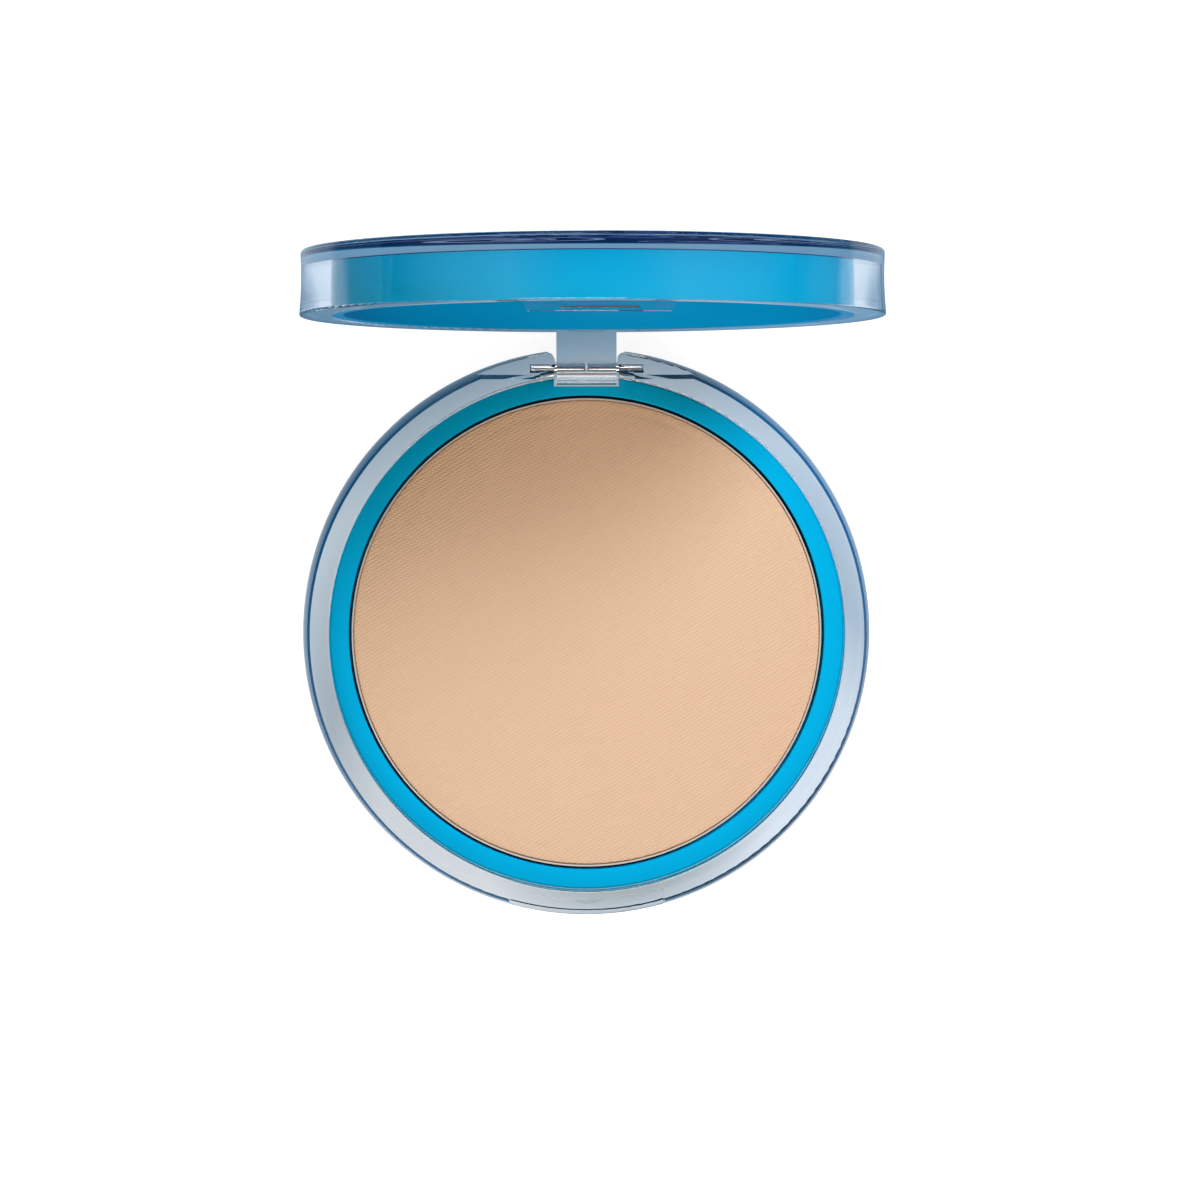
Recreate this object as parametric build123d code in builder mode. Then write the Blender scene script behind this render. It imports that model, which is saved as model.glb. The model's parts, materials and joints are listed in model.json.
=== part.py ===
from build123d import *

import os
from math import cos, radians, tan

# Round pressed-powder compact with a clear outer case, coloured inner liners and a hinged mirror lid.
# Millimetres. Origin: middle of the underside, +Z up, -Y to the thumb notch, +Y to the hinge, X across.
# The lid is drawn shut, then turned about the hinge pin to where it stands open.

# Driving dimensions
lid_open = 95.5            # angle of the lid from shut
base_height = 8.4          # underside to the rim
base_rim_radius = 35.05
base_belly_radius = 35.6   # widest place of the bowed outer wall
base_belly_height = 4.3
base_foot_radius = 35.25   # foot of the bowed wall, before its rounding
base_bore_radius = 32.3
base_floor = 1.2
base_corner = 0.2          # rounding between underside and wall
edge_round = 0.25          # rounding of the moulded rim edges
rim_bevel = (0.34, 0.5)    # crisp bevel on the rim's outer edge: in from the wall, down from the top
label_radius = 22.0
label_recess = 0.1         # the label fills its recess, flush with the underside
label_side_gap = 0.3
cut_size = 10.0            # blocks that cut reach this far past the wall

pin_y = 33.2               # hinge axis, behind the middle
pin_below_rim = 4.5
pin_radius = 0.55
pin_reach = 7.05           # outer end of each half pin, from the middle
pin_middle_gap = 0.15      # half of the space between the two half pins
pin_hole_clearance = 0.04
pin_end_gap = 0.1          # blind holes are this much deeper than the pins
pin_chamfer = 0.1

arm_width = 7.46
slot_width = 7.94
knuckle_radius = 2.1
knuckle_clearance = 0.3
stop_angle = 10.0          # how far the lid goes on beyond its standing place
stop_gap = 0.1             # air under the arm when it is turned as far as it goes
snap_mouth = 0.95          # mouth of the knuckle, which snaps over the pins

ledge_start = 32.55        # rim is cut down behind this line, so that the lid can swing
ledge_height = 6.5
ledge_width = 40.0
ledge_bevel = (0.5, 0.75)  # bevel along the edge of the rim above the ledge
ledge_step = (5.9, 0.35)   # beside the slot the rim goes on further: half width, how much further
lug_round = 0.9            # corners of the lugs, seen from above
lug_back_y = 35.05         # back of the lugs beside the slot
slot_floor_end = 33.8      # slot is open to the table behind this line

notch_width = 19.1
notch_wall_radius = 33.35
notch_floor = 6.3
bump_width = 3.6
bump_proud = 0.5
bump_tall = 0.6
bump_z = 7.95

tray_seat_gap = 0.05       # air film between tray and base floor
tray_wall_gap = 0.1
tray_radius = base_bore_radius - tray_wall_gap
tray_bore_radius = 29.85
tray_height = 5.3          # top of the coloured ring above the underside
tray_floor = 0.6
tray_channel = (30.6, 31.3)
tray_channel_roof = 0.9
tray_hinge_cut = 30.95     # flat beside the knuckle
tray_hinge_half = 4.1      # the flat is a little wider than the slot
tray_lip_round = 0.2

pan_radius = 29.5
pan_wall = 0.2
pan_height = 3.1
pan_outer_round = 0.5
pan_inner_round = 0.15
glue_thickness = 0.15
glue_spot_radius = 4.0
glue_circle_radius = 15.0
powder_radius = 29.25
powder_height = 2.75
powder_edge = 0.25

lid_gap = 0.12             # air between the two rims when shut
lid_depth = 8.0
lid_rim_radius = 35.5
lid_waist_radius = 35.25
lid_top_radius = 35.35
lid_bore_radius = 31.65
lid_plate = 1.95           # clear plate over the printed film
lid_corner = 0.5

liner_radius = 31.55
liner_bore_radius = 30.1
liner_floor = 0.8
film_thickness = 0.1
film_radius = 31.5
mirror_radius = 29.6
mirror_thickness = 1.0
mirror_bevel = 0.25
pad_radius = 28.0
pad_thickness = 0.2

tab_root_width = 18.2
tab_tip_width = 16.8
tab_drop = 1.3
tab_inner_radius = 33.8
tab_outer_radius = 35.1
tab_block = 4.0            # blank that the tab is cut from
hook_width = 9.2
hook_depth = 0.55
hook_lip = 0.33            # height of the lip under the hook's pocket
liner_set_back = 0.1       # liner's edge sits this far inside the rim
tab_root_sink = 0.4        # how far the tab and the arm reach into the wall

# Heights that follow
pin_z = base_height - pin_below_rim
lid_rim_z = base_height + lid_gap
lid_top_z = lid_rim_z + lid_depth
film_top_z = lid_top_z - lid_plate
film_base_z = film_top_z - film_thickness
liner_ceiling_z = film_base_z - liner_floor
pad_base_z = liner_ceiling_z - pad_thickness
mirror_base_z = pad_base_z - mirror_thickness
tray_seat_z = base_floor + tray_seat_gap
tray_floor_z = tray_seat_z + tray_floor
pan_base_z = tray_floor_z + glue_thickness
powder_base_z = pan_base_z + pan_wall

hinge = Axis((0, pin_y, pin_z), (1, 0, 0))


def save(part, name):
    """Label one finished piece and write it as its own STEP file."""
    part.label = name
    export_step(part, f"parts/{name}.step")


def open_lid(part):
    """Turn a piece of the shut lid about the hinge pin to the standing place."""
    return part.rotate(hinge, -lid_open)


os.makedirs("parts", exist_ok=True)

# Clear base: bowed wall, floor with a label recess, ledge and lugs at the hinge, notch at the front
with BuildPart() as base_shell:
    with BuildSketch(Plane.XZ):
        with BuildLine():
            bottom = Line((0, 0), (base_foot_radius, 0))
            wall = ThreePointArc(
                bottom @ 1,
                (base_belly_radius, base_belly_height),
                (base_rim_radius, base_height - rim_bevel[1]),
            )
            bevel = Line(wall @ 1, (base_rim_radius - rim_bevel[0], base_height))
            rim = Line(bevel @ 1, (base_bore_radius, base_height))
            Polyline(rim @ 1, (base_bore_radius, base_floor), (0, base_floor), (0, 0))
        make_face()
        fillet(vertices().sort_by_distance((base_belly_radius, 0))[0], base_corner)
        fillet(vertices().sort_by_distance((base_bore_radius, base_height))[0], edge_round)
    revolve(axis=Axis.Z)

    # recess that keeps the label off the table
    with BuildSketch(Plane.XY):
        Circle(label_radius + label_side_gap)
    extrude(amount=label_recess, mode=Mode.SUBTRACT)

    # ledge behind the rim, with a bevel along its upper edge, and a step back beside the slot
    step_half, step_back = ledge_step
    side_width = ledge_width / 2 - step_half
    for middle, width, start in (
        (0, 2 * step_half, ledge_start + step_back),
        (step_half + side_width / 2, side_width, ledge_start),
        (-step_half - side_width / 2, side_width, ledge_start),
    ):
        with BuildSketch(Plane.YZ.offset(middle)):
            with BuildLine():
                Polyline(
                    (start - ledge_bevel[0], base_height),
                    (start, base_height - ledge_bevel[1]),
                    (start, ledge_height),
                    (start + cut_size, ledge_height),
                    (start + cut_size, base_height),
                    close=True,
                )
            make_face()
        extrude(amount=width / 2, both=True, mode=Mode.SUBTRACT)

    # slot for the hinge arm: its floor slopes down behind the pin and stops the lid
    tilt = radians(lid_open + stop_angle - 90)
    floor_z = pin_z - knuckle_radius - knuckle_clearance
    fall = (knuckle_radius + stop_gap) / cos(tilt)
    bend_y = pin_y + (pin_z - fall - floor_z) / tan(tilt)
    end_y = pin_y + cut_size
    end_z = pin_z - fall - (end_y - pin_y) * tan(tilt)
    with BuildSketch(Plane.YZ):
        with BuildLine():
            Polyline(
                (tray_hinge_cut, base_height + cut_size),
                (tray_hinge_cut, floor_z),
                (bend_y, floor_z),
                (end_y, end_z),
                (end_y, base_height + cut_size),
                close=True,
            )
        make_face()
    extrude(amount=slot_width / 2, both=True, mode=Mode.SUBTRACT)
    with BuildSketch(Plane.XY):
        with Locations((0, slot_floor_end + cut_size / 2)):
            Rectangle(slot_width, cut_size)
    extrude(amount=base_height, mode=Mode.SUBTRACT)
    lug_middle = slot_width / 2 + lug_round
    with BuildSketch(Plane.XY):
        with Locations((lug_middle, lug_back_y - lug_round), (-lug_middle, lug_back_y - lug_round)):
            Rectangle(2 * lug_round, 4 * lug_round)
            Circle(lug_round, mode=Mode.SUBTRACT)
        with Locations((lug_middle, lug_back_y - 2 * lug_round), (-lug_middle, lug_back_y - 2 * lug_round)):
            Rectangle(2 * lug_round, 2 * lug_round, mode=Mode.SUBTRACT)
        with Locations((lug_middle + lug_round, lug_back_y), (-lug_middle - lug_round, lug_back_y)):
            Rectangle(2 * lug_round, 4 * lug_round, mode=Mode.SUBTRACT)
    extrude(amount=base_height, mode=Mode.SUBTRACT)

    # thumb notch with the catch bump on its wall
    with BuildSketch(Plane.XY.offset(notch_floor)):
        with Locations((0, -base_belly_radius)):
            Rectangle(notch_width, cut_size)
        Circle(notch_wall_radius, mode=Mode.SUBTRACT)
    extrude(amount=base_height, mode=Mode.SUBTRACT)
    bump_curve = (bump_width**2 / 4 + bump_proud**2) / (2 * bump_proud)
    with BuildSketch(Plane.XY.offset(bump_z - bump_tall / 2)):
        with Locations((0, bump_curve - notch_wall_radius - bump_proud)):
            Circle(bump_curve)
        Circle(notch_wall_radius - bump_proud, mode=Mode.SUBTRACT)
    extrude(amount=bump_tall)

    # blind holes for the half pins
    with BuildSketch(Plane.YZ):
        with Locations((pin_y, pin_z)):
            Circle(pin_radius)
    extrude(amount=pin_reach + pin_end_gap, both=True, mode=Mode.SUBTRACT)

save(base_shell.part, "base_shell")

# Round label in the recess underneath
with BuildPart() as bottom_label:
    with BuildSketch(Plane.XY):
        Circle(label_radius)
    extrude(amount=label_recess)

save(bottom_label.part, "bottom_label")

# Coloured tray: a ring with a moulding channel underneath, a floor, and a flat beside the knuckle
with BuildPart() as pan_tray:
    with BuildSketch(Plane.XZ):
        with BuildLine():
            Polyline(
                (0, tray_seat_z),
                (tray_channel[0], tray_seat_z),
                (tray_channel[0], tray_height - tray_channel_roof),
                (tray_channel[1], tray_height - tray_channel_roof),
                (tray_channel[1], tray_seat_z),
                (tray_radius, tray_seat_z),
                (tray_radius, tray_height),
                (tray_bore_radius, tray_height),
                (tray_bore_radius, tray_floor_z),
                (0, tray_floor_z),
                close=True,
            )
        make_face()
        fillet(vertices().sort_by_distance((tray_radius, tray_height))[0], tray_lip_round)
        fillet(vertices().sort_by_distance((tray_bore_radius, tray_height))[0], tray_lip_round)
    revolve(axis=Axis.Z)
    with BuildSketch(Plane.XY.offset(base_floor)):
        with Locations((0, tray_hinge_cut + cut_size / 2)):
            Rectangle(2 * tray_hinge_half, cut_size)
    extrude(amount=tray_height, mode=Mode.SUBTRACT)

save(pan_tray.part, "pan_tray")

# Spots of glue that hold the pan
with BuildPart() as pan_glue:
    with BuildSketch(Plane.XY.offset(tray_floor_z)):
        with PolarLocations(glue_circle_radius, 3, start_angle=90):
            Circle(glue_spot_radius)
    extrude(amount=glue_thickness)

save(pan_glue.part, "pan_glue")

# Drawn metal pan
with BuildPart() as powder_pan:
    with BuildSketch(Plane.XZ):
        with BuildLine():
            Polyline(
                (0, pan_base_z),
                (pan_radius, pan_base_z),
                (pan_radius, pan_base_z + pan_height),
                (pan_radius - pan_wall, pan_base_z + pan_height),
                (pan_radius - pan_wall, powder_base_z),
                (0, powder_base_z),
                close=True,
            )
        make_face()
        fillet(vertices().sort_by_distance((pan_radius, pan_base_z))[0], pan_outer_round)
        pan_inner_corner = vertices().sort_by_distance((pan_radius - pan_wall, powder_base_z))[0]
        fillet(pan_inner_corner, pan_inner_round)
    revolve(axis=Axis.Z)

save(powder_pan.part, "powder_pan")

# Pressed powder
with BuildPart() as powder_cake:
    with BuildSketch(Plane.XY.offset(powder_base_z)):
        Circle(powder_radius)
    extrude(amount=powder_height)
    fillet(powder_cake.edges().group_by(Axis.Z)[-1], powder_edge)
    fillet(powder_cake.edges().group_by(Axis.Z)[0], powder_edge)

save(powder_cake.part, "powder_cake")

# Two steel half pins, each set in one lug and reaching to the middle of the arm
for side, place in (("left", -pin_reach), ("right", pin_middle_gap)):
    with BuildPart() as half_pin:
        with BuildSketch(Plane.YZ.offset(place)):
            with Locations((pin_y, pin_z)):
                Circle(pin_radius)
        extrude(amount=pin_reach - pin_middle_gap)
        chamfer(half_pin.edges().filter_by(GeomType.CIRCLE), pin_chamfer)
    save(half_pin.part, f"hinge_pin_{side}")

# Catch tab of the lid: tapered, with a pocket behind its hook that takes the bump
with BuildPart() as catch_tab:
    with BuildSketch(Plane.XZ.offset(tab_outer_radius - tab_block)):
        with BuildLine():
            Polyline(
                (-tab_root_width / 2, lid_rim_z + tab_root_sink),
                (-tab_root_width / 2, lid_rim_z),
                (-tab_tip_width / 2, lid_rim_z - tab_drop),
                (tab_tip_width / 2, lid_rim_z - tab_drop),
                (tab_root_width / 2, lid_rim_z),
                (tab_root_width / 2, lid_rim_z + tab_root_sink),
                close=True,
            )
        make_face()
    extrude(amount=tab_block + tab_root_sink)
    with BuildSketch(Plane.XY.offset(lid_rim_z - tab_drop)):
        Circle(tab_outer_radius)
        Circle(tab_inner_radius, mode=Mode.SUBTRACT)
    extrude(amount=tab_drop + tab_root_sink, mode=Mode.INTERSECT)
    pocket_back = -(tab_inner_radius + hook_depth)
    pocket_low = lid_rim_z - tab_drop + hook_lip
    pocket_high = lid_rim_z - hook_lip / 2
    with BuildSketch(Plane.YZ):
        with BuildLine():
            Polyline(
                (pocket_back + tab_block, pocket_low),
                (pocket_back + hook_depth / 2, pocket_low),
                (pocket_back, pocket_low + hook_depth / 2),
                (pocket_back, pocket_high),
                (pocket_back + tab_block, pocket_high),
                close=True,
            )
        make_face()
    extrude(amount=hook_width / 2, both=True, mode=Mode.SUBTRACT)

# Clear lid: thick wall, plate, hinge arm with a snap-on knuckle, and the catch tab
with BuildPart() as lid_shell:
    with BuildSketch(Plane.XZ):
        with BuildLine():
            underside = Line((lid_bore_radius, lid_rim_z), (lid_rim_radius, lid_rim_z))
            wall = ThreePointArc(
                underside @ 1,
                (lid_waist_radius, (lid_rim_z + lid_top_z) / 2),
                (lid_top_radius, lid_top_z),
            )
            Polyline(
                wall @ 1,
                (0, lid_top_z),
                (0, film_top_z),
                (lid_bore_radius, film_top_z),
                (lid_bore_radius, lid_rim_z),
            )
        make_face()
        fillet(vertices().sort_by_distance((lid_rim_radius, lid_rim_z))[0], edge_round)
        fillet(vertices().sort_by_distance((lid_top_radius, lid_top_z))[0], lid_corner)
    revolve(axis=Axis.Z)

    # arm from the wall down to the knuckle round the pins
    arm_root = lid_rim_z + tab_root_sink
    with BuildSketch(Plane.YZ):
        with Locations((pin_y, pin_z)):
            Circle(knuckle_radius)
        with Locations((pin_y, (pin_z + arm_root) / 2)):
            Rectangle(2 * knuckle_radius, arm_root - pin_z)
    extrude(amount=arm_width / 2, both=True)
    liner_wall_clear = liner_radius + 0.1
    with BuildSketch(Plane.XY.offset(lid_rim_z)):
        Circle(liner_wall_clear)
    extrude(amount=lid_depth - lid_plate, mode=Mode.SUBTRACT)

    # bore for the pins, and the mouth that snaps over them
    with BuildSketch(Plane.YZ):
        with Locations((pin_y, pin_z)):
            Circle(pin_radius + pin_hole_clearance)
        with Locations((pin_y - knuckle_radius, pin_z)):
            Rectangle(2 * knuckle_radius, snap_mouth)
    extrude(amount=arm_width / 2, both=True, mode=Mode.SUBTRACT)

    add(catch_tab.part)

save(open_lid(lid_shell.part), "lid_shell")

# Printed film under the clear plate
with BuildPart() as lid_film:
    with BuildSketch(Plane.XY.offset(film_base_z)):
        Circle(film_radius)
    extrude(amount=film_thickness)

save(open_lid(lid_film.part), "lid_film")

# Coloured liner: a shallow cup that holds the mirror
with BuildPart() as lid_liner:
    with BuildSketch(Plane.XZ):
        with BuildLine():
            liner_edge_z = lid_rim_z + liner_set_back
            Polyline(
                (0, film_base_z),
                (liner_radius, film_base_z),
                (liner_radius, liner_edge_z),
                (liner_bore_radius, liner_edge_z),
                (liner_bore_radius, liner_ceiling_z),
                (0, liner_ceiling_z),
                close=True,
            )
        make_face()
        fillet(vertices().sort_by_distance((liner_radius, liner_edge_z))[0], tray_lip_round)
        fillet(vertices().sort_by_distance((liner_bore_radius, liner_edge_z))[0], tray_lip_round)
    revolve(axis=Axis.Z)

save(open_lid(lid_liner.part), "lid_liner")

# Sticky pad between liner and mirror
with BuildPart() as mirror_pad:
    with BuildSketch(Plane.XY.offset(pad_base_z)):
        Circle(pad_radius)
    extrude(amount=pad_thickness)

save(open_lid(mirror_pad.part), "mirror_pad")

# Round glass mirror with a bevelled edge
with BuildPart() as lid_mirror:
    with BuildSketch(Plane.XY.offset(mirror_base_z)):
        Circle(mirror_radius)
    extrude(amount=mirror_thickness)
    chamfer(lid_mirror.edges().group_by(Axis.Z)[0], mirror_bevel)

save(open_lid(lid_mirror.part), "lid_mirror")
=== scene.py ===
import json
from math import cos, pi, radians, sin

import bmesh
import bpy
import numpy as np
from mathutils import Matrix, Vector


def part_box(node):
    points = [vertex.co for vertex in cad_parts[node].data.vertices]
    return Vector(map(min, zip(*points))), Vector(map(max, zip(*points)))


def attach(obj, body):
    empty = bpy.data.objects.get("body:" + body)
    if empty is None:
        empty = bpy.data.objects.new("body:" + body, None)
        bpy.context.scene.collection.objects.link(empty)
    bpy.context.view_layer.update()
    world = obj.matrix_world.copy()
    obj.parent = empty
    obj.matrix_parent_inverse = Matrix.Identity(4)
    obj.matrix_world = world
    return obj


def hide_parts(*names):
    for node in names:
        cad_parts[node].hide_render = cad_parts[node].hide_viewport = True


# A pressed-powder compact that stands open: clear base and lid, turquoise tray and liner,
# printed film, steel half pins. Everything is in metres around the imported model. mm() turns
# millimetres into metres, and the surfaces are worked out in millimetres first.

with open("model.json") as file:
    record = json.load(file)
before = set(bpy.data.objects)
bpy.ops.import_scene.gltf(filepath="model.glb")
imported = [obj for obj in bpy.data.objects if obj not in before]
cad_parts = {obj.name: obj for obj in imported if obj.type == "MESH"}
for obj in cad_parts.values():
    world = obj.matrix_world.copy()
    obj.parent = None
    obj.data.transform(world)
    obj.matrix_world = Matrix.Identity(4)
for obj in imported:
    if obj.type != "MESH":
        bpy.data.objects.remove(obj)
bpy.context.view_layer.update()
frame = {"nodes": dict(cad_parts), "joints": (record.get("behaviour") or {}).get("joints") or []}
nodes = frame["nodes"]
print("frame loaded:", len(nodes), "nodes")

perMetre = 1000
weld = 1e-7      # points nearer to each other than this, in metres, are one point


def mm(*values):
    lengths = tuple(value / perMetre for value in values)
    return lengths if len(lengths) > 1 else lengths[0]


def addObject(name, data):
    thing = bpy.data.objects.new(name, data)
    bpy.context.scene.collection.objects.link(thing)
    return thing


# Camera
cameraSettings = {
    "rimCentre": mm(0, 0, 8.4),
    "direction": (-0.0237, 0.0819, 1.0),   # from the rim's centre towards the camera
    "distance": 0.9239,
    "lens": 221.5,
    "sensor": 36,
    "clip": (0.01, 20),
    "aimRight": mm(1.59),                  # the view's middle is a little right of the base
    "aimUp": mm(4.39),                     # and above it
}


def levelAxes(back):
    # the camera's right and up, given the way from its aim to its place
    right = Vector((0, 1, 0)).cross(back).normalized()
    return right, back.cross(right)


def makeCamera(settings):
    data = bpy.data.cameras.new("studioCamera")
    data.lens = settings["lens"]
    data.sensor_width = settings["sensor"]
    data.clip_start, data.clip_end = settings["clip"]
    camera = addObject("studioCamera", data)
    centre = Vector(settings["rimCentre"])
    direction = Vector(settings["direction"]).normalized()
    place = centre + direction * settings["distance"]
    right, up = levelAxes(direction)
    aim = centre + right * settings["aimRight"] + up * settings["aimUp"]
    back = (place - aim).normalized()
    turn = Matrix((*levelAxes(back), back)).transposed().to_4x4()
    camera.matrix_world = Matrix.Translation(place) @ turn
    bpy.context.scene.camera = camera


makeCamera(cameraSettings)

# Studio: sky, lamps, and the table with its painted glow, which is built at the end
studio = {
    "floorSize": 3.0,
    "floorDrop": mm(0.12),
    "floorGlow": 0.90,                     # how white the table looks
    "floorPale": ((0.30, 0.30, 0.30), (0.28, 0.28, 0.28)),
    "paintedShadeInGlass": (0.10, 0.18, 0.26),      # its colour in glass, gloss and bounced light: a dark blue-grey painted as shade, under the painted glow
    "floorFinish": {"grain": 900, "drift": 20, "rough": 0.8, "roughSpread": 0.1},
    "paintedGlowCentre": mm(4, -20, 0),          # the table glows with painted light and dark rings around this place, seen only in glass, gloss and bounced light
    "paintedGlowReach": 0.2,
    "paintedGlowRings": [  # distance from the painted glow's centre in metres, colour
        (0.012, (0.37, 0.40, 0.41)),
        (0.020, (0.72, 0.72, 0.73)),
        (0.030, (0.65, 0.66, 0.68)),
        (0.037, (0.38, 0.42, 0.46)),
        (0.048, (0.52, 0.58, 0.63)),
        (0.059, (0.14, 0.24, 0.33)),
        (0.074, (0.00, 0.06, 0.12)),
        (0.087, (0.56, 0.59, 0.61)),
        (0.122, (0.56, 0.59, 0.61)),
        (0.140, (0.00, 0.05, 0.10)),
    ],
    "worldSky": [  # height of the direction (0 level, 1 straight up), colour
        (0.02, (0.02, 0.07, 0.14)),
        (0.35, (0.17, 0.20, 0.22)),
        (0.80, (0.28, 0.28, 0.28)),
        (0.97, (0.06, 0.06, 0.07)),
    ],
    "lights": [  # name, place, size, power, colour, whether it shows in gloss and glass
        ("keyBackRight", (0.42, 0.54, 0.84), 0.42, 9.9, (0.88, 1.0, 1.18), False),
        ("fillFront", (-0.15, -0.75, 0.80), 0.70, 6.2, (1.14, 0.985, 0.81), True),
        ("bounceLeft", (-0.95, 0.10, 0.22), 0.40, 2.4, (0.92, 1.0, 1.10), False),
    ],
}


def colourRamp(tree, factor, stops):
    ramp = tree.nodes.new("ShaderNodeValToRGB")
    elements = ramp.color_ramp.elements
    while len(elements) < len(stops):
        elements.new(0.5)                  # every stop gets its own place just below
    for element, (position, colour) in zip(elements, stops):
        element.position, element.color = position, (*colour, 1)
    tree.links.new(factor, ramp.inputs[0])
    return ramp.outputs[0]


def makeWorld(settings):
    # dark straight above and bluer towards the horizon, so that clear edges read as dark lines
    world = bpy.data.worlds.new("studioWorld")
    bpy.context.scene.world = world
    world.use_nodes = True
    tree = world.node_tree
    place = tree.nodes.new("ShaderNodeTexCoord")
    split = tree.nodes.new("ShaderNodeSeparateXYZ")
    tree.links.new(place.outputs["Generated"], split.inputs[0])
    sky = colourRamp(tree, split.outputs["Z"], settings["worldSky"])
    tree.links.new(sky, tree.nodes["Background"].inputs["Color"])


def makeLights(settings):
    for name, place, size, power, colour, glossy in settings["lights"]:
        data = bpy.data.lights.new(name, "AREA")
        data.shape = "SQUARE"
        data.size = size
        data.energy = power
        data.color = colour
        light = addObject(name, data)
        light.location = place
        light.rotation_euler = (-Vector(place)).to_track_quat("-Z", "Y").to_euler()
        light.visible_glossy = light.visible_transmission = glossy


makeWorld(studio)
makeLights(studio)
bpy.context.scene.view_settings.view_transform = "Standard"
# lamps shine straight through the clear shells, with no bright patterns cast by their edges
bpy.context.scene.cycles.caustics_refractive = False
print("studio ready")


# Shader tools
def newMaterial(name):
    material = bpy.data.materials.new(name)
    material.use_nodes = True
    tree = material.node_tree
    return material, tree, tree.nodes["Principled BSDF"]


def setOrLink(tree, socket, value):
    if isinstance(value, tuple):
        socket.default_value = (*value, 1)
    elif isinstance(value, (int, float)):
        socket.default_value = value
    else:
        tree.links.new(value, socket)


def mathNode(tree, operation, *values):
    node = tree.nodes.new("ShaderNodeMath")
    node.operation = operation
    for socket, value in zip(node.inputs, values):
        setOrLink(tree, socket, value)
    return node.outputs[0]


def mixColour(tree, factor, first, second):
    node = tree.nodes.new("ShaderNodeMix")
    node.data_type = "RGBA"
    # a Mix node's factor is its socket 0, its two colours are 6 and 7, and the mixed colour is 2
    for index, value in ((0, factor), (6, first), (7, second)):
        setOrLink(tree, node.inputs[index], value)
    return node.outputs[2]


def objectPlace(tree):
    return tree.nodes.new("ShaderNodeTexCoord").outputs["Object"]


def splitPlace(tree, place):
    split = tree.nodes.new("ShaderNodeSeparateXYZ")
    tree.links.new(place, split.inputs[0])
    return split.outputs


def noise(tree, place, scale, detail):
    node = tree.nodes.new("ShaderNodeTexNoise")
    setOrLink(tree, node.inputs["Scale"], scale)
    node.inputs["Detail"].default_value = detail
    tree.links.new(place, node.inputs["Vector"])
    return node.outputs["Fac"]


def bumpFrom(tree, height, shader, strength, depth):
    node = tree.nodes.new("ShaderNodeBump")
    node.inputs["Strength"].default_value = strength
    node.inputs["Distance"].default_value = depth
    tree.links.new(height, node.inputs["Height"])
    tree.links.new(node.outputs["Normal"], shader.inputs["Normal"])


def makeGrainGroup():
    # fine grain as a height for a Bump node, and slow drift, which moves the roughness
    group = bpy.data.node_groups.new("mouldedGrain", "ShaderNodeTree")
    for name, kind in (
        ("Place", "NodeSocketVector"),
        ("Grain Scale", "NodeSocketFloat"),
        ("Drift Scale", "NodeSocketFloat"),
        ("Middle", "NodeSocketFloat"),
        ("Spread", "NodeSocketFloat"),
    ):
        group.interface.new_socket(name, in_out="INPUT", socket_type=kind)
    for name in ("Roughness", "Height", "Drift"):
        group.interface.new_socket(name, in_out="OUTPUT", socket_type="NodeSocketFloat")
    given = group.nodes.new("NodeGroupInput").outputs
    result = group.nodes.new("NodeGroupOutput").inputs
    fine = noise(group, given["Place"], given["Grain Scale"], 2)
    slow = noise(group, given["Place"], given["Drift Scale"], 4)
    centred = mathNode(group, "SUBTRACT", slow, 0.5)
    rough = mathNode(group, "MULTIPLY_ADD", centred, given["Spread"], given["Middle"])
    group.links.new(rough, result["Roughness"])
    group.links.new(fine, result["Height"])
    group.links.new(slow, result["Drift"])
    return group


grainGroup = makeGrainGroup()


def useGrain(tree, settings):
    node = tree.nodes.new("ShaderNodeGroup")
    node.node_tree = grainGroup
    tree.links.new(objectPlace(tree), node.inputs["Place"])
    node.inputs["Grain Scale"].default_value = settings["grain"]
    node.inputs["Drift Scale"].default_value = settings["drift"]
    node.inputs["Middle"].default_value = settings["rough"]
    node.inputs["Spread"].default_value = settings["roughSpread"]
    return node.outputs


# Finishes that are one colour drifting into another. Grain and drift are noise scales per metre,
# bump is a strength and a depth, and sockets go straight to the shader.
mouldedSatin = {"grain": 5200, "drift": 70, "roughSpread": 0.16, "bump": (0.25, mm(0.03))}
matt = {"Specular IOR Level": 0.0}
satin = {"Specular IOR Level": 0.05}
bondedInk = {"rough": 0.35, "roughSpread": 0.12, "grain": 2600, "drift": 90,
             "bump": (0.05, mm(0.01)), "sockets": matt}   # no gloss: it is bonded to the plate

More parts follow.
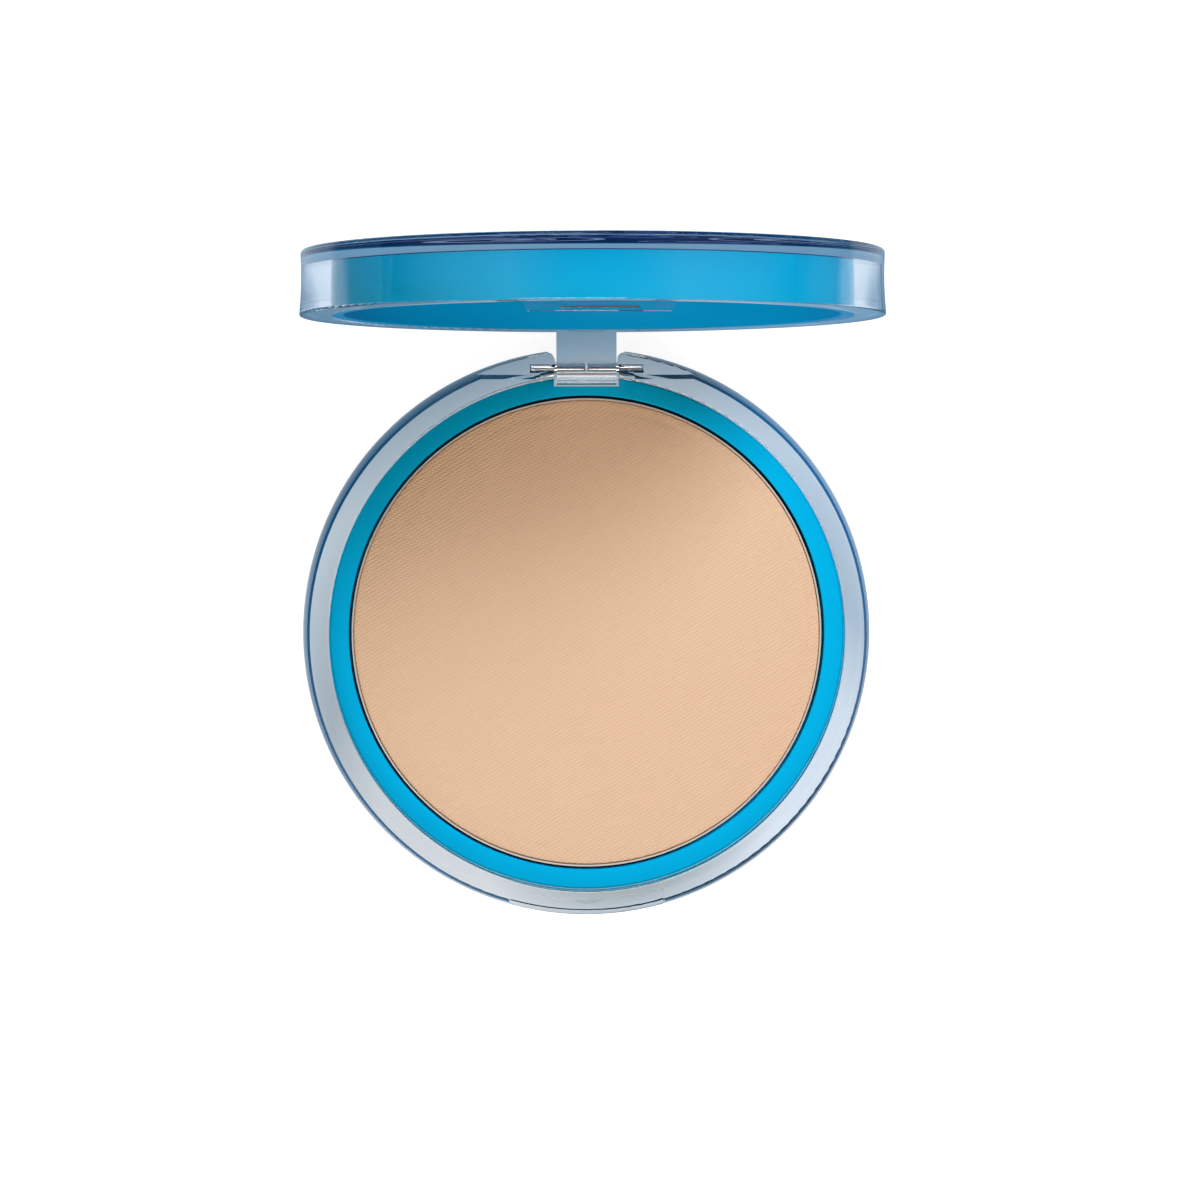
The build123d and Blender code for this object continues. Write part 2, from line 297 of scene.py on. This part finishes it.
finishes = {
    "clearPlastic": {
        "colours": ((0.955, 0.978, 0.992), (0.93, 0.965, 0.985)),
        "rough": 0.006, "roughSpread": 0.01, "grain": 900, "drift": 45,
        "sockets": {"IOR": 1.57, "Specular IOR Level": 0.24, "Transmission Weight": 1.0},
    },
    "turquoisePlastic": {
        "colours": ((0.0, 0.41, 0.68), (0.0, 0.37, 0.63)),
        "rough": 0.42, "sockets": satin, **mouldedSatin,
    },
    # the same turquoise made bluer and darker: painted shade on the liner's inside
    "turquoisePlasticShadedInside": {
        "colours": ((0.0, 0.355, 0.76), (0.0, 0.32, 0.70)),
        "rough": 0.42, "sockets": satin, **mouldedSatin,
    },
    # the same turquoise made brighter: painted light on the liner's outer side
    "turquoisePlasticLitSide": {
        "colours": ((0.0, 0.46, 0.70), (0.0, 0.42, 0.66)),
        "rough": 0.5, "sockets": matt, **mouldedSatin,
    },
    # the same turquoise made darker: painted shade on the tray's outer side
    "turquoisePlasticShadedSide": {
        "colours": ((0.0, 0.18, 0.43), (0.0, 0.15, 0.38)),
        "rough": 0.5, "sockets": matt, **mouldedSatin,
    },
    "pinSteel": {
        "colours": ((0.80, 0.81, 0.84), (0.62, 0.64, 0.68)),
        "rough": 0.16, "roughSpread": 0.12, "grain": 3000, "drift": 150,
        "bump": (0.12, mm(0.02)), "sockets": {"Metallic": 1.0},
    },
    "panMetal": {
        "colours": ((0.82, 0.74, 0.66), (0.74, 0.64, 0.55)),
        "rough": 0.40, "roughSpread": 0.2, "grain": 3000, "drift": 150,
        "bump": (0.12, mm(0.02)), "sockets": {"Metallic": 0.45},
    },
    "navyInk": {"colours": ((0.002, 0.032, 0.13), (0.004, 0.060, 0.20)), **bondedInk},
    "whiteInk": {"colours": ((0.50, 0.62, 0.84), (0.38, 0.48, 0.74)), **bondedInk},
    "lavenderInk": {"colours": ((0.16, 0.25, 0.58), (0.10, 0.18, 0.48)), **bondedInk},
    "tealInk": {"colours": ((0.0, 0.22, 0.40), (0.0, 0.16, 0.32)), **bondedInk},
    "mirrorGlass": {
        "colours": ((0.93, 0.94, 0.95), (0.86, 0.88, 0.90)),
        "rough": 0.01, "roughSpread": 0.03, "grain": 700, "drift": 90,
        "sockets": {"Metallic": 1.0},
    },
    "panGlue": {
        "colours": ((0.86, 0.82, 0.68), (0.74, 0.70, 0.55)),
        "rough": 0.35, "roughSpread": 0.2, "grain": 900, "drift": 300,
        "bump": (0.5, mm(0.06)),
    },
    "stickyPad": {
        "colours": ((0.84, 0.84, 0.82), (0.70, 0.71, 0.72)),
        "rough": 0.8, "roughSpread": 0.2, "grain": 2600, "drift": 300,
        "bump": (0.5, mm(0.05)),
    },
}


def makeFinish(name, settings):
    material, tree, shader = newMaterial(name)
    grain = useGrain(tree, settings)
    colour = mixColour(tree, grain["Drift"], *settings["colours"])
    tree.links.new(colour, shader.inputs["Base Color"])
    tree.links.new(grain["Roughness"], shader.inputs["Roughness"])
    for socket, value in settings.get("sockets", {}).items():
        shader.inputs[socket].default_value = value
    if "bump" in settings:
        bumpFrom(tree, grain["Height"], shader, *settings["bump"])
    return material


powder = {
    "colour": (0.68, 0.437, 0.262),
    "colourPink": (0.68, 0.413, 0.257),
    "colourPale": (0.80, 0.565, 0.37),
    "cloudNoise": (55, 3),                 # scale and detail of the noises
    "grainNoise": (5200, 2),
    "wanderNoise": (260, 2),
    "ridgeAngles": (-58, 28),              # degrees, the main ridges and the ones that cross them
    "ridgePitch": mm(0.44),
    "ridgeWander": 0.6,                    # how far the ridges stray, in pitches
    "crossShare": 0.4,                     # how deeply the second ridges cut the first
    # how much paler the ridge crests are: a painted highlight
    "crestHighlightFromWeave": 0.24,
    "speckFromGrain": 0.5,
    "weaveDepth": 0.6,
    "grainDepth": 0.3,
    "bump": (0.85, mm(0.08)),
    "rough": (0.75, 0.2),                  # lowest, and how much the grain adds
    "shine": 0.25,
}


def makePowder(settings):
    # pressed twill: diagonal ridges, broken up by a second set across them and by noise, over
    # slow pink and yellow clouds; a ridge's height is the sine of the way across it in pitches
    material, tree, shader = newMaterial("pressedPowder")
    place = objectPlace(tree)
    split = splitPlace(tree, place)
    wander = noise(tree, place, *settings["wanderNoise"])
    clouds = noise(tree, place, *settings["cloudNoise"])
    grains = noise(tree, place, *settings["grainNoise"])
    pitch = settings["ridgePitch"]
    ridges = []
    for angle in settings["ridgeAngles"]:
        across = mathNode(tree, "MULTIPLY", split["X"], cos(radians(angle)) / pitch)
        across = mathNode(tree, "MULTIPLY_ADD", split["Y"], sin(radians(angle)) / pitch, across)
        across = mathNode(tree, "MULTIPLY_ADD", wander, settings["ridgeWander"], across)
        ridges.append(mathNode(tree, "SINE", mathNode(tree, "MULTIPLY", across, 2 * pi)))
    share = settings["crossShare"]
    cut = mathNode(tree, "MULTIPLY_ADD", ridges[1], share, 1 - share)
    weave = mathNode(tree, "MULTIPLY", ridges[0], cut)

    def weaveAndGrain(weaveShare, grainShare):
        grainPart = mathNode(tree, "MULTIPLY", grains, grainShare)
        return mathNode(tree, "MULTIPLY_ADD", weave, weaveShare, grainPart)

    warm = mixColour(tree, clouds, settings["colour"], settings["colourPink"])
    # pale on the ridge crests is a painted highlight; the grain part gives real pale specks
    crestHighlightAndSpeck = weaveAndGrain(settings["crestHighlightFromWeave"], settings["speckFromGrain"])
    colour = mixColour(tree, crestHighlightAndSpeck, warm, settings["colourPale"])
    lowest, spread = settings["rough"]
    rough = mathNode(tree, "MULTIPLY_ADD", grains, spread, lowest)
    tree.links.new(colour, shader.inputs["Base Color"])
    tree.links.new(rough, shader.inputs["Roughness"])
    shader.inputs["Specular IOR Level"].default_value = settings["shine"]
    height = weaveAndGrain(settings["weaveDepth"], settings["grainDepth"])
    bumpFrom(tree, height, shader, *settings["bump"])
    return material


labelPaper = {
    "paper": (0.82, 0.83, 0.82),
    "fibre": (0.70, 0.72, 0.73),
    "ink": (0.03, 0.16, 0.28),
    "rings": ((20.6, 0.35), (19.8, 0.12), (9.5, 0.12)),   # radius and half width in millimetres
    "rough": 0.6, "roughSpread": 0.2, "grain": 2400, "drift": 500,
    "bump": (0.3, mm(0.02)),
}


def makeLabel(settings):
    # plain printed rings: the distance from the middle, compared with each ring's radius
    material, tree, shader = newMaterial("labelPaper")
    grain = useGrain(tree, settings)
    paper = mixColour(tree, grain["Drift"], settings["paper"], settings["fibre"])
    split = splitPlace(tree, objectPlace(tree))
    square = mathNode(tree, "MULTIPLY", split["X"], split["X"])
    square = mathNode(tree, "MULTIPLY_ADD", split["Y"], split["Y"], square)
    radius = mathNode(tree, "SQRT", square)
    mask = 0.0
    for ring, half in settings["rings"]:
        near = mathNode(tree, "COMPARE", radius, mm(ring), mm(half))
        mask = mathNode(tree, "MAXIMUM", mask, near)
    colour = mixColour(tree, mask, paper, settings["ink"])
    tree.links.new(colour, shader.inputs["Base Color"])
    tree.links.new(grain["Roughness"], shader.inputs["Roughness"])
    bumpFrom(tree, grain["Height"], shader, *settings["bump"])
    return material


materials = {name: makeFinish(name, settings) for name, settings in finishes.items()}
materials["pressedPowder"] = makePowder(powder)
materials["labelPaper"] = makeLabel(labelPaper)

for name, finish in {
    "base_shell": "clearPlastic",
    "lid_shell": "clearPlastic",
    "powder_pan": "panMetal",
    "lid_mirror": "mirrorGlass",
    "bottom_label": "labelPaper",
    "pan_glue": "panGlue",
    "mirror_pad": "stickyPad",
}.items():
    data = nodes[name].data
    data.materials.clear()
    data.materials.append(materials[finish])
    nodes[name].visible_shadow = finish != "clearPlastic"
print("finishes ready")


# Surfaces
def meshFromGrid(name, points, smooth=True):
    # points[i, j] has i round the axis and j along the profile; a row on the axis becomes one point
    rounds, steps = points.shape[:2]
    i, j = np.meshgrid(np.arange(rounds), np.arange(steps - 1), indexing="ij")
    here, beside = i * steps + j, (i + 1) % rounds * steps + j
    faces = np.stack((here, beside, beside + 1, here + 1), -1).reshape(-1, 4)
    data = bpy.data.meshes.new(name)
    data.from_pydata(points.reshape(-1, 3), [], faces)
    data.update()
    work = bmesh.new()
    work.from_mesh(data)
    bmesh.ops.remove_doubles(work, verts=work.verts, dist=weld)
    bmesh.ops.recalc_face_normals(work, faces=work.faces)
    work.to_mesh(data)
    work.free()
    data.polygons.foreach_set("use_smooth", np.full(len(data.polygons), smooth))
    return addObject(name, data)


def spinProfile(radius, height, rounds):
    # the profile carried round the Z axis: x = radius*cos(a), y = radius*sin(a), z = height
    angle = np.linspace(0, 2 * pi, rounds, endpoint=False)[:, None]
    flat = 0 * angle
    return np.stack((radius * np.cos(angle), radius * np.sin(angle), height + flat), -1)


def resample(profile, spacing):
    # a profile's corners joined by straight runs, cut into equal steps no longer than spacing
    points = [np.array(profile[0], float)]
    for start, end in zip(profile[:-1], profile[1:]):
        start, end = np.array(start, float), np.array(end, float)
        count = max(1, int(np.ceil(np.linalg.norm(end - start) / spacing)))
        points += [start + (end - start) * k / count for k in range(1, count + 1)]
    return np.array(points)


def quarterTurn(steps):
    # sine and cosine along a quarter circle, for a rounded edge
    bend = np.linspace(0, pi / 2, steps)
    return np.sin(bend), np.cos(bend)


# Coloured tray and lid liner
hingePlace = np.array(frame["joints"][0]["pos_m"]) * perMetre
lidAngle = 95.5                            # degrees from shut, where the frame has the lid


def openLid(points):
    # turns shut-lid points in millimetres about the hinge line, z towards +Y and y towards -Z
    swing = radians(lidAngle)
    y, z = points[..., 1] - hingePlace[1], points[..., 2] - hingePlace[2]
    return np.stack((points[..., 0], hingePlace[1] + y * cos(swing) + z * sin(swing),
                     hingePlace[2] - y * sin(swing) + z * cos(swing)), -1)


def mergedCopy(node, name):
    # the node's own mesh with its loose triangles joined, and the places of its points
    data = nodes[node].data.copy()
    data.name = name
    work = bmesh.new()
    work.from_mesh(data)
    bmesh.ops.remove_doubles(work, verts=work.verts, dist=weld)
    work.to_mesh(data)
    work.free()
    place = np.empty(len(data.vertices) * 3, np.float32)
    data.vertices.foreach_get("co", place)
    return data, place.reshape(-1, 3)


def paintSide(data, side, pair):
    # faces whose corners all lie on the outer side get the second finish of the pair
    corner = np.empty(len(data.loops), np.int32)
    data.loops.foreach_get("vertex_index", corner)
    start = np.empty(len(data.polygons), np.int32)
    data.polygons.foreach_get("loop_start", start)
    onSide = np.minimum.reduceat(side[corner].astype(np.int32), start)
    data.materials.clear()
    for finish in pair:
        data.materials.append(materials[finish])
    data.polygons.foreach_set("material_index", onSide)


tray = {
    "finishes": ("turquoisePlastic", "turquoisePlasticShadedSide"),   # body, and a darker copy painted as shade for the outer side
    "press": mm(0.18),                     # its outer side wets the clear wall round it
    "sideDepth": mm(0.02),                 # points this near to the greatest radius are the side
    "sharpAngle": 32,
}
liner = {
    # inside and outer side take the painted shade and painted light copies of the turquoise
    "finishes": ("turquoisePlasticShadedInside", "turquoisePlasticLitSide"),
    "press": 0.0,                          # dry: it stands free of the wall
    "sideDepth": mm(0.02),
    "sharpAngle": 32,
}


def pressedCopy(node, name, start, end, settings):
    # the node's own shape; points at the greatest radius from the axis start-end go outwards
    # by the press, along the line from the axis
    data, place = mergedCopy(node, name)
    axis = (end - start) / np.linalg.norm(end - start)
    offset = place - start
    out = offset - (offset @ axis)[:, None] * axis
    radius = np.linalg.norm(out, axis=1)
    side = radius > radius.max() - settings["sideDepth"]
    place[side] += out[side] / radius[side, None] * settings["press"]
    data.vertices.foreach_set("co", place.ravel())
    paintSide(data, side, settings["finishes"])
    data.polygons.foreach_set("use_smooth", np.ones(len(data.polygons), bool))
    data.update()
    data.set_sharp_from_angle(angle=radians(settings["sharpAngle"]))
    return addObject(name, data)


upright = np.array([[0, 0, 0], [0, 0, 1]], float)
piece = pressedCopy("pan_tray", "turquoiseTray", *upright, tray)
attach(piece, "base")
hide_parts("pan_tray")
piece = pressedCopy("lid_liner", "turquoiseLiner", *(openLid(upright) / perMetre), liner)
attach(piece, "lid")
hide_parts("lid_liner")
print("tray and liner made")

# Pressed powder, in millimetres
cake = {
    "edgeRound": 0.28,
    "edgeSteps": 7,
    "dome": 0.05,
    "topSpacing": 0.30,
    "wallSpacing": 0.9,
    "rounds": 420,
    "grooveFromEdge": 1.35,
    "grooveWidth": 0.20,
    "grooveDepth": 0.16,
    "grooveStray": ((0.16, 3, 0.6), (0.10, 7, 1.9), (0.05, 19, 0.0)),  # reach, waves round, start
    "grooveFaint": 0.35,                   # share of its depth where it is faintest
    "grooveDeepest": 40,                   # degrees from +X
    "grooveFlicker": (0.25, 11, 0.7),
    "waves": ((0.012, 0.35, 0.22, 1.0), (0.010, -0.18, 0.51, 0.0)),    # height, x, y, start
    "edgeFade": 0.8,                       # the waves die out over this distance from the edge
}


def makeCake(settings):
    # height at radius r and angle a = top + dome*(1 - r^2/R^2) - groove(r, a) + waves(x, y);
    # the groove is depth*strength(a)*exp(-(way from its line/width)^2); the wall drops straight
    low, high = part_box("powder_cake")
    outer, top, bottom = high.x * perMetre, high.z * perMetre, low.z * perMetre
    roundOff = settings["edgeRound"]
    sine, cosine = quarterTurn(settings["edgeSteps"])
    flat = resample([(0, top), (outer - roundOff, top)], settings["topSpacing"])
    inside, under = outer - roundOff, top - roundOff
    shoulder = np.stack((inside + roundOff * sine, under + roundOff * cosine), -1)
    wall = resample([(outer, top - roundOff), (outer, bottom), (0, bottom)],
                    settings["wallSpacing"])
    profile = np.concatenate((flat, shoulder[1:], wall[1:]))
    angle = np.linspace(0, 2 * pi, settings["rounds"], endpoint=False)
    radius = profile[None, :, 0] + 0 * angle[:, None]
    turn = angle[:, None] + 0 * radius
    x, y = radius * np.cos(turn), radius * np.sin(turn)
    onTop = (np.arange(profile.shape[0]) < len(flat))[None, :]

    stray = sum(reach * np.sin(count * turn + start)
                for reach, count, start in settings["grooveStray"])
    faint = settings["grooveFaint"]
    facing = 0.5 + 0.5 * np.cos(turn - radians(settings["grooveDeepest"]))
    strength = faint + (1 - faint) * facing ** 2
    flicker, count, start = settings["grooveFlicker"]
    strength = strength * (1 - flicker + flicker * np.sin(count * turn + start))
    offset = (outer - radius) - (settings["grooveFromEdge"] + stray)
    groove = settings["grooveDepth"] * strength * np.exp(-(offset / settings["grooveWidth"]) ** 2)
    waves = sum(size * np.sin(alongX * x + alongY * y + start)
                for size, alongX, alongY, start in settings["waves"])
    dome = settings["dome"] * (1 - (radius / outer) ** 2)
    fade = np.clip((outer - roundOff - radius) / settings["edgeFade"], 0, 1)
    grooveFade = np.clip(fade * 2, 0, 1)   # the groove dies out over half that distance
    height = profile[None, :, 1] + onTop * (dome + waves * fade - groove * grooveFade)
    return meshFromGrid("powderCakeTop", np.stack((x, y, height), -1) / perMetre)


piece = makeCake(cake)
piece.data.materials.append(materials["pressedPowder"])
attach(piece, "base")
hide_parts("powder_cake")
print("powder made")

# Steel half pins, in millimetres
pins = {"thinner": 0.015, "endRound": 0.16, "endSteps": 9, "rounds": 64}


def makePin(name, node, settings):
    # a rod along X: its radius follows a quarter circle at each end
    low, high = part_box(node)
    start, end = low.x * perMetre, high.x * perMetre
    middleY, middleZ = (low.y + high.y) / 2 * perMetre, (low.z + high.z) / 2 * perMetre
    radius = (high.z - low.z) / 2 * perMetre - settings["thinner"]
    roundOff = settings["endRound"]
    sine, cosine = quarterTurn(settings["endSteps"])
    out, inward = radius - roundOff + roundOff * sine, roundOff - roundOff * cosine
    along = np.concatenate(([start], start + inward, end - inward[::-1], [end]))
    across = np.concatenate(([0], out, out[::-1], [0]))
    ring = spinProfile(across, along, settings["rounds"])
    points = np.stack((ring[..., 2], middleY + ring[..., 0], middleZ + ring[..., 1]), -1)
    piece = meshFromGrid(name, points / perMetre)
    piece.data.materials.append(materials["pinSteel"])
    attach(piece, "base")
    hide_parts(node)


makePin("hingePinLeft", "hinge_pin_left", pins)
makePin("hingePinRight", "hinge_pin_right", pins)
print("pins made")

# Printed film and its scrolls, in millimetres on the shut lid
film = {
    "radius": 31.55,
    "top": 14.59,
    "base": 14.475,
    "rounds": 192,
    "inkThick": 0.006,
    "inkLayers": {"whiteInk": 2.0, "lavenderInk": 1.0, "tealInk": 0.5},
    "petals": 7,
    "border": (29.4, 31.2),
    "borderSteps": 193,
    "scrolls": (  # distance from the middle, size, width, turning way, ink
        (20.5, 6.4, 0.95, 1, "whiteInk"),
        (12.5, 4.4, 0.9, -1, "lavenderInk"),
        (26.0, 3.2, 0.8, -1, "lavenderInk"),
        (7.0, 2.6, 0.45, 1, "whiteInk"),
    ),
    "curl": {"turns": 1.7, "larger": 1.0, "wider": 1.0, "start": pi},
    "tendril": {"turns": 1.1, "larger": 1.25, "wider": 0.5, "start": 0.4},
}
ribbon = {
    "steps": 72,
    "eyeRadius": 0.05,                     # the spiral ends this far from its centre
    "closing": 1.3,                        # above 1 the spiral closes faster at its start
    "taper": 0.6,
    "tipShare": 0.04,                      # how full the ends are
}


def makeFilm(settings):
    # a disc with a straight edge, carried round the lid's axis
    top, base, radius = settings["top"], settings["base"], settings["radius"]
    points = spinProfile(np.array([0, radius, radius, 0]), np.array([top, top, base, base]),
                         settings["rounds"])
    piece = meshFromGrid("printedFilm", openLid(points) / perMetre, smooth=False)
    piece.data.materials.append(materials["navyInk"])
    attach(piece, "lid")
    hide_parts("lid_film")


makeFilm(film)


def scrollStrip(centre, start, turns, size, width, way, settings):
    # a flat ribbon along a spiral: radius = size*(1 - t)^closing + eye radius, and
    # angle = start + way*2*pi*turns*t; its width follows a sine, so that both ends taper
    t = np.linspace(0, 1, settings["steps"])
    radius = size * (1 - t) ** settings["closing"] + settings["eyeRadius"]
    angle = start + way * 2 * pi * turns * t
    line = np.stack((centre[0] + radius * np.cos(angle), centre[1] + radius * np.sin(angle)), -1)
    ahead = np.gradient(line, axis=0)
    ahead /= np.linalg.norm(ahead, axis=1)[:, None]
    side = np.stack((-ahead[:, 1], ahead[:, 0]), -1)
    tip = settings["tipShare"]
    half = 0.5 * width * np.sin(pi * (t * (1 - 2 * tip) + tip)) ** settings["taper"]
    return np.stack((line + side * half[:, None], line - side * half[:, None]), 1)


def stripMesh(name, strips, finish, settings):
    # ribbons of ink lying on the film, all in one piece; each step along a ribbon has four
    # corners, left and right at the low level and at the high one
    low = settings["top"]
    high = low + settings["inkLayers"][finish] * settings["inkThick"]
    verts, faces, count = [], [], 0
    for strip in strips:
        steps = strip.shape[0]
        left, right = strip[:, 0], strip[:, 1]
        corners = [np.column_stack((side, np.full(steps, level))) for side, level in (
            (left, low), (right, low), (right, high), (left, high))]
        k = np.arange(steps - 1) * 4 + count
        for first, second in ((0, 1), (1, 2), (2, 3), (3, 0)):
            faces.append(np.stack((k + first, k + second, k + 4 + second, k + 4 + first), -1))
        last = count + 4 * (steps - 1)
        faces.append(np.array([[count + 3, count + 2, count + 1, count],
                               [last, last + 1, last + 2, last + 3]]))
        verts.append(np.stack(corners, 1).reshape(-1, 3))
        count += 4 * steps
    data = bpy.data.meshes.new(name)
    data.from_pydata(openLid(np.concatenate(verts)) / perMetre, [], np.concatenate(faces))
    work = bmesh.new()
    work.from_mesh(data)
    bmesh.ops.recalc_face_normals(work, faces=work.faces)
    work.to_mesh(data)
    work.free()
    data.materials.append(materials[finish])
    piece = addObject(name, data)
    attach(piece, "lid")


def makeScrolls(settings):
    strips = {"whiteInk": [], "lavenderInk": []}
    petals = settings["petals"]
    for k in range(petals):
        for reach, size, width, way, ink in settings["scrolls"]:
            turn = 2 * pi * k / petals + (0.0 if way > 0 else pi / petals)
            centre = (reach * cos(turn), reach * sin(turn))
            for curl in (settings["curl"], settings["tendril"]):
                strips[ink].append(scrollStrip(
                    centre, turn + curl["start"], curl["turns"], size * curl["larger"],
                    width * curl["wider"], way, ribbon))
    stripMesh("whiteScrolls", strips["whiteInk"], "whiteInk", settings)
    stripMesh("lavenderScrolls", strips["lavenderInk"], "lavenderInk", settings)
    angle = np.linspace(0, 2 * pi, settings["borderSteps"])
    circle = np.stack((np.cos(angle), np.sin(angle)), -1)
    border = np.stack([radius * circle for radius in settings["border"]], 1)
    stripMesh("tealBorder", [border], "tealInk", settings)


makeScrolls(film)
print("film printed")


# Table
def makeFloor(settings):
    half, level = settings["floorSize"] / 2, -settings["floorDrop"]
    corners = [(x * half, y * half, level) for x, y in ((-1, -1), (1, -1), (1, 1), (-1, 1))]
    data = bpy.data.meshes.new("studioFloor")
    data.from_pydata(corners, [], [(0, 1, 2, 3)])
    material, tree, shader = newMaterial("paperFloor")
    grain = useGrain(tree, settings["floorFinish"])
    seen = tree.nodes.new("ShaderNodeLightPath").outputs["Is Camera Ray"]
    pale = mixColour(tree, grain["Drift"], *settings["floorPale"])
    colour = mixColour(tree, seen, settings["paintedShadeInGlass"], pale)
    tree.links.new(colour, shader.inputs["Base Color"])
    tree.links.new(grain["Roughness"], shader.inputs["Roughness"])
    shader.inputs["Specular IOR Level"].default_value = 0.0
    away = tree.nodes.new("ShaderNodeVectorMath")
    away.operation = "DISTANCE"
    tree.links.new(objectPlace(tree), away.inputs[0])
    away.inputs[1].default_value = settings["paintedGlowCentre"]
    scale = 1 / settings["paintedGlowReach"]
    # painted light and dark rings on the table, shown to glass, gloss and bounced light; the camera
    # sees the even white glow
    paintedRingColour = colourRamp(tree, mathNode(tree, "MULTIPLY", away.outputs["Value"], scale),
                       [(place * scale, colour) for place, colour in settings["paintedGlowRings"]])
    glow = (settings["floorGlow"],) * 3
    tree.links.new(mixColour(tree, seen, paintedRingColour, glow), shader.inputs["Emission Color"])
    shader.inputs["Emission Strength"].default_value = 1.0
    data.materials.append(material)
    addObject("studioFloor", data)


makeFloor(studio)
